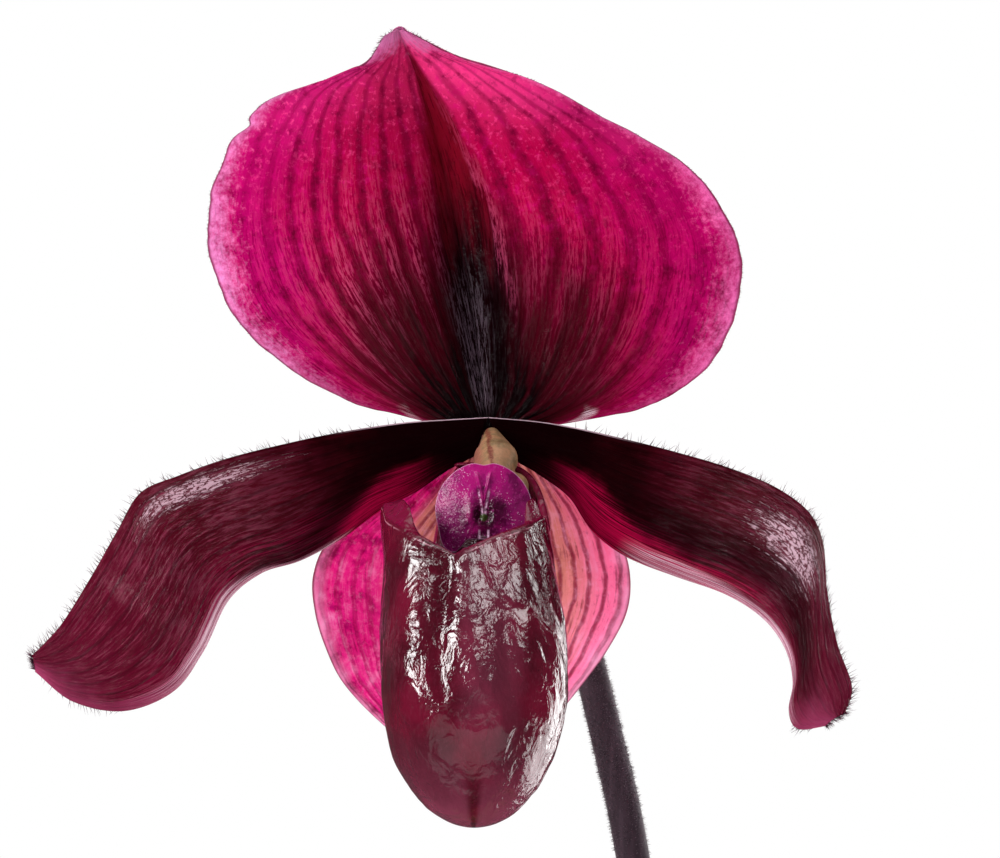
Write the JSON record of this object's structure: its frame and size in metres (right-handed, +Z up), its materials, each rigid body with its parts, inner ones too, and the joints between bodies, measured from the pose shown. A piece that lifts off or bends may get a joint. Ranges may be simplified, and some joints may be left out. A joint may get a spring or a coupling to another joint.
{
  "type": "potted orchid",
  "caption": "Potted slipper orchid: wine-red bloom with a broad magenta back sepal, drooping petals and a glossy pouch on a tall hairy stem, over strap leaves in a clay pot of bark.",
  "frame": {"origin": "centre of the pot's foot, on the surface that the pot stands on", "axes": "+Z up, -Y the way the bloom faces, +X to the right as the bloom is seen"},
  "size_m": [0.2175, 0.1199, 0.3797],
  "materials": {
    "clay": "matt unglazed terracotta",
    "bark": "rough broken bark",
    "leaf": "semi-gloss leaf, light and dark green in a net pattern",
    "stem": "dark, finely hairy",
    "bract": "dull green flushed with purple",
    "ovary": "ribbed, finely hairy",
    "dorsal": "magenta with dark veins, satin",
    "synsepal": "pink with dark veins, satin",
    "petal": "blackish wine red, glossy",
    "pouch": "wine brown, very glossy and finely wrinkled",
    "shield": "purple, glossy and finely warted",
    "column": "tan, satin"
  },
  "bodies": {
    "root": {"pot": "clay", "potting_mix": "bark", "leaf_1": "leaf", "leaf_2": "leaf", "leaf_3": "leaf", "leaf_4": "leaf", "leaf_5": "leaf", "leaf_6": "leaf", "young_leaf_1": "leaf", "young_leaf_2": "leaf", "young_leaf_3": "leaf", "young_leaf_4": "leaf", "scape": "stem", "bract": "bract", "ovary": "ovary", "dorsal_sepal": "dorsal", "synsepal": "synsepal", "petal_left": "petal", "petal_right": "petal", "pouch": "pouch", "staminode": "shield", "column": "column"}
  },
  "joints": []
}
